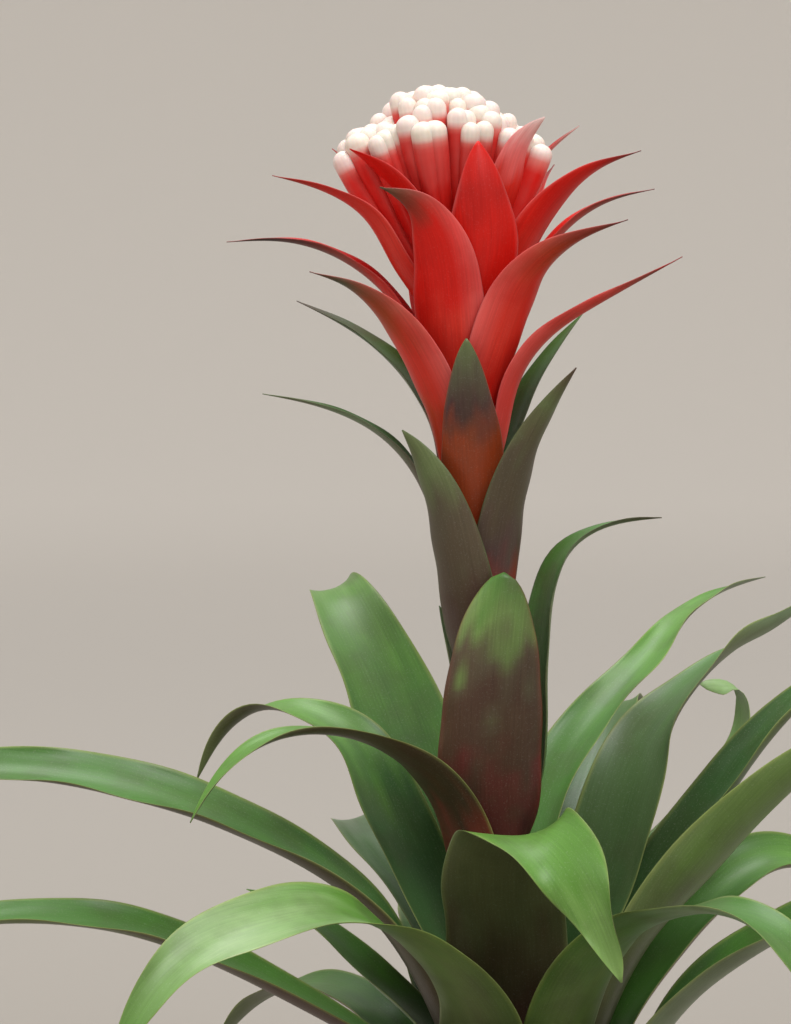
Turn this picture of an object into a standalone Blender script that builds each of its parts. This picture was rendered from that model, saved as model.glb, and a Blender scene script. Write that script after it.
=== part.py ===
# A potted bromeliad: a clay pot, its soil, a rosette of strap leaves and a leaning flower stalk that
# carries leafy bracts, a head of red bracts and a cluster of florets.
# The pot's base is centred on the origin and the plant grows along +Z. Lengths are written in millimetres
# and turned into metres by MM where a mesh is made.

import math

import bmesh
import bpy
import numpy as np

MM = 0.001

# The pot
POT_HEIGHT = 110.0
POT_BASE_RADIUS = 43.0
POT_MOUTH_RADIUS = 59.0
POT_WALL = 4.5
POT_FLOOR = 6.0
RIM_HEIGHT = 22.0
RIM_STEP = 3.5
RIM_CHAMFER = 1.5
DRAIN_RADIUS = 4.0
DRAIN_CIRCLE = 22.0
DRAIN_COUNT = 3
POT_SEGMENTS = 40

# The soil and the crown that stands in it
SOIL_BELOW_RIM = 10.0
CROWN_DEPTH = 5.0
CROWN_TOP = 26.0
CROWN_TIP_RADIUS = 6.4
CROWN_SEGMENTS = 32

# The stalk leans towards -X
STALK_LEAN = math.tan(math.radians(4.46))
STALK_RADIUS = 5.0
STALK_TOP_RADIUS = 3.6
STALK_HEIGHT = 345.0
STALK_SEGMENTS = 12
STALK_RINGS = 8

# Leaves and bracts
LEAF_THICKNESS = 0.8
SHEATH_GAP = 0.6
FIRST_SHEATH = 8.0
SHEATH_RISE = 18.0
SHEATH_FLARE = 3.0
SHEATH_FLARE_STEP = 0.9
BRACT_RISE = 14.0
BRACT_STANDOFF = 1.2
WIDEST_WRAP = 1.45
NARROWEST_TIP = 1.6
FIT_GAP = 0.3
LEAF_GRID = (12, 6)
BRACT_GRID = (9, 4)

# The floret cluster
CLUSTER_RADIUS = 31.0
CLUSTER_HEIGHT = 99.0
CLUSTER_BASE = 75.0
CLUSTER_NECK = 5.0
FLORET_COUNT = 24
FLORET_RADIUS = 8.0
FLORET_BUMP = 5.0
CLUSTER_SEGMENTS = 36
CLUSTER_RINGS = 9

GOLDEN_ANGLE = math.radians(137.5)

CLAY = (0.48, 0.20, 0.105, 1.0)
SOIL = (0.045, 0.030, 0.020, 1.0)
STEM = (0.14, 0.16, 0.06, 1.0)
LEAF_GREEN = (0.085, 0.20, 0.045, 1.0)
BRACT_GREEN = (0.075, 0.115, 0.045, 1.0)
BRACT_RED = (0.56, 0.048, 0.030, 1.0)
BRACT_BROWN = (0.24, 0.038, 0.010, 1.0)
FLORET_WHITE = (0.86, 0.72, 0.66, 1.0)

# One row for each leaf of the rosette, from the innermost sheath outwards:
# bearing in degrees, width, channel in degrees, share of the width at the sheath, roll in degrees at even
# steps along the leaf, and the midrib's points after the sheath. A point is (out, right, up) from the
# leaf's own root, seen from the crown along the bearing.
LEAVES = [
    (55, 28, 40, 1.0, (0, 4, -4, -8, 0, 15, 25),
     [(10, -6, 68), (25, -10, 104), (49, -8, 134), (75, -3, 154), (101, 0, 169), (124, 0, 182),
      (140, 0, 188), (170, 0, 194), (203, 0, 197)]),
    (204, 34, 35, 0.85, (0, -15, -25, -10, 0, 0),
     [(24, -6, 119), (46, -11, 140), (73, -13, 152), (104, -11, 152), (126, -10, 139), (139, -8, 120)]),
    (150, 42, 35, 1.0, (0, 5, 15, 20, 0, -10),
     [(33, -9, 90), (47, -11, 119), (60, -13, 141), (81, -16, 152), (101, -21, 154), (117, -27, 143),
      (125, -35, 124)]),
    (122, 50, 30, 0.68, (0, 10, 22, 22, 10),
     [(39, -8, 108), (67, -8, 149), (95, -8, 180), (121, -5, 198), (146, 8, 196), (160, 28, 168)]),
    (-95, 54, 25, 0.64, (0, 0, 0, -18, -24),
     [(25, 2, 72), (49, 2, 105), (76, -10, 122), (96, -27, 113), (103, -40, 91), (103, -48, 69)]),
    (27, 46, 40, 0.7, (0, -4, -26, -28, 5, 35, 45),
     [(18, 4, 72), (28, 9, 104), (36, 10, 129), (46, 8, 147), (60, 8, 163), (78, 6, 176), (94, 4, 185),
      (110, 2, 191), (125, 2, 199), (140, 2, 206)]),
    (68, 36, 40, 1.0, (0, 0, 0),
     [(36, 4, 97), (66, 4, 123), (95, 2, 142), (124, -2, 151), (155, -6, 139), (179, -9, 113)]),
    (136, 42, 30, 1.0, (0, 5, 15, 22, 22),
     [(23, 7, 53), (49, 11, 80), (77, 16, 98), (101, 29, 104), (115, 56, 95), (117, 84, 71)]),
    (91, 37, 35, 0.8, (0, 0, 0),
     [(38, -2, 61), (78, -3, 91), (130, -6, 107), (186, -6, 95), (221, -5, 61), (233, -5, 25)]),
    (5, 46, 60, 0.6, (0, -10, -14, -14, -14),
     [(21, 0, 58), (37, 0, 85), (52, 0, 107), (66, 0, 127), (81, 0, 148), (98, 0, 167), (118, 0, 181),
      (136, 0, 182)]),
    (187, 44, 46, 0.9, (0, 0, 10, 24, 30, 30),
     [(31, -15, 72), (52, -16, 95), (95, -14, 121), (136, -11, 137), (193, -6, 147), (226, -4, 142),
      (251, -1, 119)]),
    (39, 33, 35, 0.68, (0, 0, 0, 20),
     [(39, -11, 78), (81, -17, 98), (117, -24, 121), (136, -27, 146), (139, -36, 163), (127, -48, 165)]),
    (-130, 44, 35, 0.76, (0, 0, 8, 24, 34, 38),
     [(23, -17, 45), (52, -18, 75), (82, -18, 94), (113, -16, 105), (141, -12, 105), (171, -2, 98),
      (193, 5, 82), (206, 13, 56)]),
    (-54, 42, 35, 0.34, (0, 0, 0, 0),
     [(19, 11, 41), (40, 16, 68), (68, 19, 91), (96, 19, 103), (124, 18, 109), (148, 12, 104), (166, 7, 85),
      (177, 1, 61)]),
    (-2, 60, 50, 0.25, (0, 2, 30, 34, 30),
     [(14, 4, 50), (30, 9, 80), (48, 13, 103), (68, 17, 127), (91, 22, 150), (112, 26, 164),
      (133, 28, 166)]),
    (168, 30, 35, 0.85, (0, 10, 10),
     [(9, 6, 30), (30, 4, 54), (52, 1, 75), (71, -2, 88), (87, -5, 95)]),
    (112, 38, 35, 1.0, (0, 0, 0),
     [(24, -7, 44), (61, 2, 61), (107, 18, 66), (150, 35, 50), (179, 47, 16), (194, 53, -21)]),
    (70, 38, 35, 0.85, (0, 0, 0),
     [(34, -7, 41), (72, -8, 59), (116, -15, 70), (162, -24, 59), (196, -31, 26), (211, -35, -13)]),
    (194, 38, 45, 0.85, (0, 5, 15, 15, 10),
     [(21, -11, 33), (51, -12, 52), (84, -12, 71), (116, -12, 87), (149, -12, 97), (187, -11, 100),
      (223, -8, 93), (247, -4, 74)]),
    (-22, 48, 50, 0.55, (0, -10, -14, -12),
     [(18, 5, 31), (42, 7, 60), (69, 8, 83), (95, 7, 98), (120, 7, 102), (143, 5, 92), (160, 4, 70)]),
    (-82, 42, 35, 1.0, (0, 0, 0),
     [(25, 9, 25), (63, 14, 48), (108, 18, 60), (148, 23, 54), (167, 25, 28)]),
    (21, 44, 50, 0.5, (0, -12, -24, -20),
     [(6, 0, 36), (18, 0, 58), (34, -1, 76), (56, -2, 97), (79, -3, 109), (103, -4, 106), (125, -4, 87),
      (139, -4, 59)]),
    (150, 40, 35, 1.0, (0, 0, 0),
     [(24, 12, 30), (58, 28, 44), (96, 46, 44), (132, 60, 28), (160, 68, 2)]),
]
LEAF_SHEATH_SHARE = 0.14
LEAF_TAPER = 2.8
LEAF_POINT = 0.85

# One row for each bract of the stalk, from the lowest up: bearing, height of its root above the soil, width,
# channel, taper, point, flare of the sheath, roll, and the midrib's points as for a leaf. A high taper keeps
# the blade wide for longer, and a low point makes its end blunt.
STALK_BRACTS = [
    (-92, 94, 46, 30, 4.5, 0.55, 8, (0, 0, 0), [(14, 5, 54), (21, 4, 88), (25, 2, 121), (22, -1, 149)]),
    (25, 112, 32, 40, 2.5, 0.9, 9, (0, 0, 0, 0, 20),
     [(12, -2, 40), (16, -4, 78), (18, -4, 108), (26, -3, 134), (42, 3, 146), (65, 11, 150)]),
    (150, 146, 26, 40, 2.5, 0.8, 9, (0, 0, 0), [(9, 1, 40), (15, 2, 61), (21, 3, 79)]),
    (-125, 171, 34, 40, 3.0, 0.8, 9, (0, 0, 0),
     [(9, 0, 42), (18, 0, 74), (24, 4, 101), (28, 11, 119), (32, 17, 130)]),
    (-50, 187, 32, 40, 2.6, 0.9, 9, (0, 0, 0), [(4, 1, 46), (13, 4, 78), (25, 3, 108), (42, -7, 140)]),
    (176, 203, 26, 35, 2.4, 1.0, 11, (0, 0, 0),
     [(12, 3, 51), (21, 3, 76), (36, 1, 94), (59, -3, 106), (85, -6, 112)]),
    (-88, 224, 31, 30, 3.2, 0.75, 9, (0, 0, 0), [(7, 2, 39), (18, 4, 73), (27, 6, 94), (32, 7, 115)]),
    (93, 233, 28, 35, 2.2, 0.9, 12, (0, 0, 0), [(13, -2, 37), (26, 1, 61), (42, 7, 82), (59, 16, 95)]),
    (28, 246, 26, 35, 2.4, 0.9, 9, (0, 0, 0), [(7, -2, 33), (16, -4, 55), (29, -4, 79), (48, -3, 102)]),
    (153, 254, 26, 35, 2.2, 0.9, 15, (0, 0, 0), [(13, 8, 41), (27, 10, 64), (48, 8, 83), (78, 2, 99)]),
]
STALK_BRACT_SHARE = 0.44
STALK_BRACT_SHEATH = 0.2

# One row for each bract of the red head, in the same terms, from the lowest root up.
HEAD_BRACTS = [
    (-18, 262, 30, 45, 3.0, 1.5, 14, (0, 0, 0),
     [(9, 3, 34), (15, 4, 58), (27, 2, 76), (48, -3, 91), (81, -11, 110)]),
    (-138, 266, 36, 40, 3.6, 1.4, 14, (0, 0, 0),
     [(12, -2, 35), (24, -1, 60), (37, 2, 79), (52, 8, 93), (69, 15, 100)]),
    (112, 271, 30, 38, 3.4, 1.4, 14, (0, 0, 0),
     [(16, 1, 36), (30, 1, 66), (47, 1, 91), (68, 4, 106), (87, 9, 111)]),
    (-52, 277, 38, 40, 3.6, 1.5, 14, (0, 0, 0),
     [(9, 3, 36), (19, 2, 61), (30, -1, 84), (44, -9, 99), (64, -26, 110)]),
    (70, 279, 32, 38, 3.4, 1.4, 14, (0, 0, 0),
     [(13, -1, 37), (26, 0, 66), (41, 1, 89), (60, -1, 102), (81, -6, 108)]),
    (175, 283, 32, 38, 3.2, 1.4, 14, (0, 0, 0),
     [(11, 3, 40), (23, 1, 67), (43, -2, 86), (67, -6, 95), (93, -11, 95)]),
    (-98, 290, 38, 35, 3.6, 1.2, 14, (0, 0, 0),
     [(13, 3, 36), (23, 4, 64), (32, 7, 89), (38, 15, 103), (43, 29, 110)]),
    (4, 294, 30, 40, 3.4, 1.4, 14, (0, 0, 0),
     [(11, 0, 39), (21, -1, 68), (38, -1, 91), (54, -2, 101), (73, -2, 106)]),
    (102, 298, 30, 38, 3.4, 1.4, 14, (0, 0, 0), [(19, 2, 45), (34, 3, 74), (51, 6, 98), (73, 8, 111)]),
    (-83, 306, 39, 32, 3.4, 0.8, 14, (0, 0, 0), [(15, 0, 44), (24, -4, 69), (27, -3, 93), (23, -2, 113)]),
    (40, 303, 28, 38, 3.2, 1.3, 14, (0, 0, 0),
     [(15, -2, 50), (30, -4, 78), (44, -10, 96), (59, -16, 108)]),
    (109, 309, 28, 38, 3.2, 1.3, 14, (0, 0, 0), [(17, 2, 48), (34, 1, 76), (51, 0, 92), (68, 2, 100)]),
    (-164, 313, 34, 36, 3.4, 1.3, 14, (0, 0, 0),
     [(11, -3, 36), (23, -4, 54), (36, -6, 74), (55, -6, 86), (76, -5, 92)]),
    (-39, 313, 34, 40, 3.6, 1.4, 14, (0, 0, 0),
     [(11, -2, 37), (23, -4, 60), (36, -8, 80), (51, -14, 94), (69, -22, 102)]),
    (162, 325, 26, 30, 3.0, 1.0, 14, (0, 0, 0), [(12, 5, 42), (24, 5, 63), (37, 4, 80), (50, 1, 92)]),
    (-46, 323, 30, 32, 3.4, 0.8, 14, (0, 0, 0),
     [(11, 0, 56), (19, -3, 78), (24, -6, 95), (30, -13, 106)]),
    (-144, 331, 30, 30, 3.4, 0.9, 13, (0, 0, 0), [(10, -1, 43), (20, 1, 62), (30, 4, 75), (42, 10, 85)]),
    (1, 333, 30, 32, 3.0, 1.0, 14, (0, 0, 0), [(6, -3, 37), (17, -4, 58), (28, -3, 78), (44, 0, 93)]),
    (88, 338, 26, 38, 3.0, 1.0, 14, (0, 0, 0), [(8, 0, 42), (19, 0, 62), (29, 2, 78), (39, 3, 86)]),
    (-116, 342, 26, 30, 3.2, 0.8, 11, (0, 0, 0), [(3, 0, 37), (9, 4, 55), (16, 9, 70)]),
]
HEAD_BRACT_SHARE = 0.32
HEAD_BRACT_SHEATH = 0.36


def soil_level():
    return POT_HEIGHT - SOIL_BELOW_RIM


def make_material(name, colour, roughness):
    material = bpy.data.materials.new(name)
    material.use_nodes = True
    shader = material.node_tree.nodes["Principled BSDF"]
    shader.inputs["Base Color"].default_value = colour
    shader.inputs["Roughness"].default_value = roughness
    shader.inputs["Metallic"].default_value = 0.0
    return material


def add_object(name, mesh, material):
    obj = bpy.data.objects.new(name, mesh)
    mesh.materials.append(material)
    mesh.shade_smooth()
    bpy.context.scene.collection.objects.link(obj)
    return obj


def turn_profile(name, profile, segments, material, lean_from=None):
    """A closed (radius, height) profile turned about the axis, and leaned above one height if asked."""
    shape = bmesh.new()
    ring = [shape.verts.new((r * MM, 0.0, z * MM)) for r, z in profile]
    edges = [shape.edges.new(pair) for pair in zip(ring, ring[1:])]
    bmesh.ops.spin(
        shape, geom=ring + edges, cent=(0, 0, 0), axis=(0, 0, 1), angle=math.tau, steps=segments, use_merge=True
    )
    bmesh.ops.remove_doubles(shape, verts=shape.verts, dist=0.02 * MM)
    bmesh.ops.recalc_face_normals(shape, faces=shape.faces)
    if lean_from is not None:
        for vert in shape.verts:
            vert.co.x -= STALK_LEAN * max(vert.co.z - lean_from * MM, 0.0)
    mesh = bpy.data.meshes.new(name)
    shape.to_mesh(mesh)
    shape.free()
    obj = add_object(name, mesh, material)
    mesh.set_sharp_from_angle(angle=math.radians(35))
    return obj


def wall_radius(height):
    """The pot's inner wall at a height above its base."""
    share = (height - POT_FLOOR) / (POT_HEIGHT - POT_FLOOR)
    foot = POT_BASE_RADIUS - POT_WALL
    return foot + (POT_MOUTH_RADIUS - foot) * share


def make_pot(material):
    rim_foot = POT_HEIGHT - RIM_HEIGHT
    body_top = wall_radius(rim_foot) + POT_WALL
    rim_foot_radius = body_top + RIM_STEP
    rim_top_radius = POT_MOUTH_RADIUS + POT_WALL + RIM_STEP
    profile = [
        (0.0, 0.0),
        (POT_BASE_RADIUS - RIM_CHAMFER, 0.0),
        (POT_BASE_RADIUS, RIM_CHAMFER),
        (body_top, rim_foot),
        (rim_foot_radius, rim_foot + RIM_CHAMFER),
        (rim_top_radius, POT_HEIGHT - RIM_CHAMFER),
        (rim_top_radius - RIM_CHAMFER, POT_HEIGHT),
        (POT_MOUTH_RADIUS + RIM_CHAMFER, POT_HEIGHT),
        (wall_radius(POT_HEIGHT - RIM_CHAMFER), POT_HEIGHT - RIM_CHAMFER),
        (POT_BASE_RADIUS - POT_WALL, POT_FLOOR),
        (0.0, POT_FLOOR),
    ]
    pot = turn_profile("pot", profile, POT_SEGMENTS, material)
    for number in range(DRAIN_COUNT):
        angle = math.tau * (number + 0.25) / DRAIN_COUNT
        bpy.ops.mesh.primitive_cylinder_add(
            vertices=16,
            radius=DRAIN_RADIUS * MM,
            depth=3 * POT_FLOOR * MM,
            location=(DRAIN_CIRCLE * MM * math.cos(angle), DRAIN_CIRCLE * MM * math.sin(angle), POT_FLOOR / 2 * MM),
        )
        cutter = bpy.context.object
        cutter.name = f"drain_cutter_{number + 1}"
        cutter.hide_render = True
        cutter.display_type = "WIRE"
        cut = pot.modifiers.new(f"Drain {number + 1}", "BOOLEAN")
        cut.operation = "DIFFERENCE"
        cut.solver = "EXACT"
        cut.object = cutter
    return pot


def crown_radius():
    """The crown's radius at the soil: just inside the outermost sheath."""
    return sheath_radius(len(LEAVES) - 1) - LEAF_THICKNESS / 2 - 2 * FIT_GAP


def make_soil(material):
    """Fills the pot to its level, with a round socket for the crown."""
    top = soil_level()
    foot = POT_FLOOR + FIT_GAP
    socket = crown_radius() + FIT_GAP
    profile = [
        (0.0, foot),
        (wall_radius(foot) - FIT_GAP, foot),
        (wall_radius(top) - FIT_GAP, top),
        (socket, top),
        (socket, top - CROWN_DEPTH - FIT_GAP),
        (0.0, top - CROWN_DEPTH - FIT_GAP),
    ]
    return turn_profile("soil", profile, POT_SEGMENTS, material)


def make_crown(material):
    """The short stem that the leaf sheaths stand on, one step inside the next."""
    top = soil_level()
    profile = [
        (0.0, top - CROWN_DEPTH),
        (crown_radius(), top - CROWN_DEPTH),
        (crown_radius(), top - FIT_GAP),
        (CROWN_TIP_RADIUS, top + CROWN_TOP),
        (0.0, top + CROWN_TOP),
    ]
    return turn_profile("crown", profile, CROWN_SEGMENTS, material, lean_from=top)


def make_stalk(material):
    """A tapering stem from the top of the crown to the floret cluster."""
    foot = soil_level() + CROWN_TOP + FIT_GAP
    top = soil_level() + STALK_HEIGHT
    profile = [(0.0, foot)]
    for step in range(STALK_RINGS + 1):
        share = step / STALK_RINGS
        profile.append((STALK_RADIUS + (STALK_TOP_RADIUS - STALK_RADIUS) * share, foot + (top - foot) * share))
    profile.append((0.0, top))
    return turn_profile("flower_stalk", profile, STALK_SEGMENTS, material, lean_from=soil_level())


def axis_at(height):
    """The stalk's axis at a height above the soil, as x and y."""
    return np.array([-STALK_LEAN * height, 0.0])


def sheath_radius(place):
    return FIRST_SHEATH + place * (LEAF_THICKNESS + SHEATH_GAP)


def smooth_curve(points, count):
    """Evenly spaced points on the natural cubic spline through the given ones."""
    points = np.asarray(points, float)
    last = len(points) - 1
    gaps = np.linalg.norm(np.diff(points, axis=0), axis=1) ** 0.8
    knots = np.concatenate([[0.0], np.cumsum(gaps)])
    slopes = np.diff(points, axis=0) / gaps[:, None]
    system = np.eye(last + 1)
    wanted = np.zeros_like(points)
    inner = np.arange(1, last)
    system[inner, inner - 1] = gaps[:-1]
    system[inner, inner] = 2 * (gaps[:-1] + gaps[1:])
    system[inner, inner + 1] = gaps[1:]
    wanted[1:-1] = 6 * np.diff(slopes, axis=0)
    bends = np.linalg.solve(system, wanted)
    places = np.linspace(0.0, knots[-1], 301)
    span = np.clip(np.searchsorted(knots, places, side="right") - 1, 0, last - 1)
    before = (places - knots[span])[:, None]
    after = (knots[span + 1] - places)[:, None]
    gap = gaps[span][:, None]
    curve = (
        (bends[span] * after**3 + bends[span + 1] * before**3) / (6 * gap)
        + (points[span + 1] / gap - bends[span + 1] * gap / 6) * before
        + (points[span] / gap - bends[span] * gap / 6) * after
    )
    lengths = np.concatenate([[0.0], np.cumsum(np.linalg.norm(np.diff(curve, axis=0), axis=1))])
    even = np.linspace(0.0, lengths[-1], count)
    return np.stack([np.interp(even, lengths, curve[:, k]) for k in range(3)], axis=1)


def midrib(bearing, radius, height, rise, flare, path, count):
    """The blade's centre line: up the flared sheath, then through the path's points."""
    angle = math.radians(bearing)
    out = np.array([math.cos(angle), math.sin(angle)])
    right = np.array([out[1], -out[0]])
    root = axis_at(height)
    points = []
    for climb in (0.0, rise):
        centre = axis_at(height + climb)
        points.append([*(centre + out * (radius + climb * math.tan(math.radians(flare)))), height + climb])
    for along, aside, up in path:
        points.append([*(root + out * (radius + along) + right * aside), height + up])
    return smooth_curve(points, count)


def make_blade(name, row, radius, height, rise, sheath, grid, material):
    """A strap: a curved strip laid along its midrib, then thickened.

    Each cross-section is an arc. It wraps round the stalk at the sheath and keeps a shallow channel beyond it.
    """
    bearing, width, channel, taper, point, flare, share, roll, path = row
    line = midrib(bearing, radius, height, rise, flare, path, grid[0] + 1)
    along = np.linspace(0.0, 1.0, grid[0] + 1)
    across = np.linspace(-1.0, 1.0, grid[1] + 1)
    forward = np.gradient(line, axis=0)
    forward /= np.linalg.norm(forward, axis=1)[:, None]
    angle = math.radians(bearing)
    aside = np.array([math.sin(angle), -math.cos(angle), 0.0])
    right = aside - (forward @ aside)[:, None] * forward
    right /= np.linalg.norm(right, axis=1)[:, None]
    inward = np.cross(right, forward)
    turn = np.radians(np.interp(along, np.linspace(0.0, 1.0, len(roll)), roll))[:, None]
    right, inward = right * np.cos(turn) + inward * np.sin(turn), inward * np.cos(turn) - right * np.sin(turn)

    centre = np.stack([axis_at(z) for z in line[:, 2]])
    distance = np.linalg.norm(line[:, :2] - centre, axis=1)
    near = np.clip(1.0 - (along - sheath) / 0.25, 0.0, 1.0)
    half = width / 2 * (1.0 + (share - 1.0) * np.exp(-((along / sheath) ** 2))) * (1.0 - along**taper) ** point
    half = np.maximum(half, NARROWEST_TIP / 2)
    half = np.minimum(half, WIDEST_WRAP * distance / np.maximum(near, 0.001))
    wrap = half / distance * np.clip(forward[:, 2], 0.0, 1.0) ** 2 * near
    open_up = np.clip(along / 0.35, 0.0, 1.0)
    trough = math.radians(channel) * (0.35 + 0.65 * open_up**2 * (3.0 - 2.0 * open_up))
    bend = (wrap**4 + trough**4) ** 0.25
    arc = bend[:, None] * across
    bow = (half / bend)[:, None]
    points = (
        line[:, None]
        + (bow * np.sin(arc))[..., None] * right[:, None]
        + (bow * (1.0 - np.cos(arc)))[..., None] * inward[:, None]
    )
    points[..., 2] += soil_level()

    rows, columns = points.shape[:2]
    index = np.arange(rows * columns).reshape(rows, columns)
    faces = np.stack([index[:-1, :-1], index[:-1, 1:], index[1:, 1:], index[1:, :-1]], axis=-1).reshape(-1, 4)
    mesh = bpy.data.meshes.new(name)
    mesh.from_pydata((points.reshape(-1, 3) * MM).tolist(), [], faces.tolist())
    mesh.update()
    blade = add_object(name, mesh, material)
    thick = blade.modifiers.new("Thickness", "SOLIDIFY")
    thick.thickness = LEAF_THICKNESS * MM
    thick.offset = 0.0
    return blade


def make_leaves(material):
    last = len(LEAVES) - 1
    for place, (bearing, width, channel, share, roll, path) in enumerate(LEAVES):
        flare = SHEATH_FLARE + SHEATH_FLARE_STEP * place
        row = (bearing, width, channel, LEAF_TAPER, LEAF_POINT, flare, share, roll, path)
        height = CROWN_TOP * (1.0 - place / last) + 2 * FIT_GAP
        make_blade(
            f"leaf_{place + 1:02d}", row, sheath_radius(place), height, SHEATH_RISE, LEAF_SHEATH_SHARE, LEAF_GRID, material
        )


def make_bracts(kind, rows, share, sheath, materials):
    radius = STALK_RADIUS + BRACT_STANDOFF
    for number, (bearing, height, width, channel, taper, point, flare, roll, path) in enumerate(rows):
        row = (bearing, width, channel, taper, point, flare, share, roll, path)
        make_blade(
            f"{kind}_{number + 1:02d}", row, radius, height, BRACT_RISE, sheath, BRACT_GRID, materials[number % len(materials)]
        )


def make_cluster(material):
    """The florets' massed tips as one lumpy cap on a neck.

    The cap's top is a dome, raised by a round bump over each floret. The florets follow the golden angle.
    """
    foot = STALK_HEIGHT + FIT_GAP
    ring = np.linspace(0.0, 1.0, CLUSTER_RINGS + 1)[1:, None]
    spoke = np.linspace(0.0, math.tau, CLUSTER_SEGMENTS, endpoint=False)
    radius = CLUSTER_RADIUS * ring * np.ones_like(spoke)
    top = np.stack([radius * np.cos(spoke), radius * np.sin(spoke)], axis=-1)
    number = np.arange(FLORET_COUNT)
    reach = CLUSTER_RADIUS * np.sqrt((number + 0.4) / FLORET_COUNT)
    florets = np.stack([reach * np.cos(number * GOLDEN_ANGLE), reach * np.sin(number * GOLDEN_ANGLE)], axis=-1)
    nearest = np.linalg.norm(top[:, :, None] - florets, axis=-1).min(axis=-1)
    bump = FLORET_BUMP * np.clip(1.0 - (nearest / FLORET_RADIUS) ** 2, 0.0, 1.0)
    dome = CLUSTER_HEIGHT - FLORET_BUMP - (CLUSTER_HEIGHT - FLORET_BUMP - CLUSTER_BASE - 6.0) * ring**2.5
    heights = dome + bump

    points = [(0.0, 0.0, CLUSTER_HEIGHT)]
    points += np.concatenate([top, heights[..., None]], axis=-1).reshape(-1, 3).tolist()
    under = [(CLUSTER_RADIUS * 0.9, CLUSTER_BASE), (CLUSTER_NECK * 1.6, CLUSTER_BASE - 12.0), (CLUSTER_NECK, 0.0)]
    for reach, height in under:
        points += [(reach * math.cos(a), reach * math.sin(a), height) for a in spoke]
    points.append((0.0, 0.0, 0.0))
    points = np.array(points)
    points[:, 2] += foot
    points[:, 0] -= STALK_LEAN * points[:, 2]
    points[:, 2] += soil_level()

    rings = CLUSTER_RINGS + len(under)
    grid = 1 + np.arange(rings * CLUSTER_SEGMENTS).reshape(rings, CLUSTER_SEGMENTS)
    beside = np.roll(grid, -1, axis=1)
    faces = np.stack([grid[:-1], grid[1:], beside[1:], beside[:-1]], axis=-1).reshape(-1, 4).tolist()
    faces += [[0, a, b] for a, b in zip(grid[0].tolist(), beside[0].tolist())]
    faces += [[len(points) - 1, b, a] for a, b in zip(grid[-1].tolist(), beside[-1].tolist())]
    mesh = bpy.data.meshes.new("flower_cluster")
    mesh.from_pydata((points * MM).tolist(), [], faces)
    mesh.update()
    return add_object("flower_cluster", mesh, material)


def main():
    for obj in list(bpy.data.objects):
        bpy.data.objects.remove(obj, do_unlink=True)
    clay = make_material("clay", CLAY, 0.85)
    soil = make_material("soil", SOIL, 0.95)
    stem = make_material("stem", STEM, 0.5)
    leaf = make_material("leaf", LEAF_GREEN, 0.38)
    green_bract = make_material("green_bract", BRACT_GREEN, 0.4)
    red_bract = make_material("red_bract", BRACT_RED, 0.35)
    floret = make_material("floret", FLORET_WHITE, 0.45)
    make_pot(clay)
    make_soil(soil)
    make_crown(stem)
    make_stalk(stem)
    make_leaves(leaf)
    make_bracts("stalk_bract", STALK_BRACTS, STALK_BRACT_SHARE, STALK_BRACT_SHEATH, [green_bract])
    make_bracts("head_bract", HEAD_BRACTS, HEAD_BRACT_SHARE, HEAD_BRACT_SHEATH, [red_bract])
    make_cluster(floret)


main()
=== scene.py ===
import math

import bpy
import numpy as np
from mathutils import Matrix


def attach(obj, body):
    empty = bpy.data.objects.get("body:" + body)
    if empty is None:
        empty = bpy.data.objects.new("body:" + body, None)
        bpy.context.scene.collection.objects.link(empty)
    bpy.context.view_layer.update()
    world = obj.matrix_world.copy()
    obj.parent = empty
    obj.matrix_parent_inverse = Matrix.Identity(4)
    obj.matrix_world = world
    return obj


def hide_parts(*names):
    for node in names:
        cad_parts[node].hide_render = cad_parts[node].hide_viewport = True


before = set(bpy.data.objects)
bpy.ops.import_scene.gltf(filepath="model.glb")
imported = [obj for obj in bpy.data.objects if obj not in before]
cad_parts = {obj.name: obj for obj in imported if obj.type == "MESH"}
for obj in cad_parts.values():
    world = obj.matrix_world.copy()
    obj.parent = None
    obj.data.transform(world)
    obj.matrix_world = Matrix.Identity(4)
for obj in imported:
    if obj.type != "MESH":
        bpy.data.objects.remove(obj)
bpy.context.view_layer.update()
mm = 0.001
draw = np.random.default_rng(7)  # every uneven detail comes from this one seeded source

# Linear colours of the living plant.
shades = {
    "shadow": (0.018, 0.042, 0.014),
    "deep": (0.038, 0.095, 0.026),
    "green": (0.058, 0.160, 0.024),
    "fresh": (0.100, 0.240, 0.034),
    "lime": (0.235, 0.385, 0.115),
    "pale": (0.240, 0.370, 0.150),
    "grey": (0.150, 0.200, 0.110),
    "silver": (0.200, 0.290, 0.170),
    "olive": (0.115, 0.150, 0.055),
    "leafOlive": (0.130, 0.210, 0.055),
    "darkLeaf": (0.065, 0.120, 0.040),
    "brownOlive": (0.105, 0.105, 0.050),
    "darkOlive": (0.045, 0.052, 0.022),
    "bronze": (0.085, 0.065, 0.038),
    "umber": (0.070, 0.034, 0.022),
    "wine": (0.046, 0.012, 0.013),
    "mauve": (0.125, 0.052, 0.050),
    "brickRed": (0.270, 0.034, 0.020),
    "rust": (0.300, 0.045, 0.010),
    "ember": (0.460, 0.045, 0.012),
    "red": (0.620, 0.012, 0.007),
    "deepRed": (0.380, 0.010, 0.007),
    "coral": (0.660, 0.034, 0.020),
    "rose": (0.720, 0.200, 0.190),
    "limeEdge": (0.300, 0.340, 0.090),
    "wineMauve": (0.085, 0.045, 0.042),
    "wineRed": (0.110, 0.026, 0.022),
    "plumTip": (0.070, 0.030, 0.030),
    "mossTip": (0.085, 0.080, 0.045),
    "cream": (0.760, 0.680, 0.580),
    "white": (0.780, 0.630, 0.590),
    "blush": (0.700, 0.180, 0.150),
}


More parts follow.
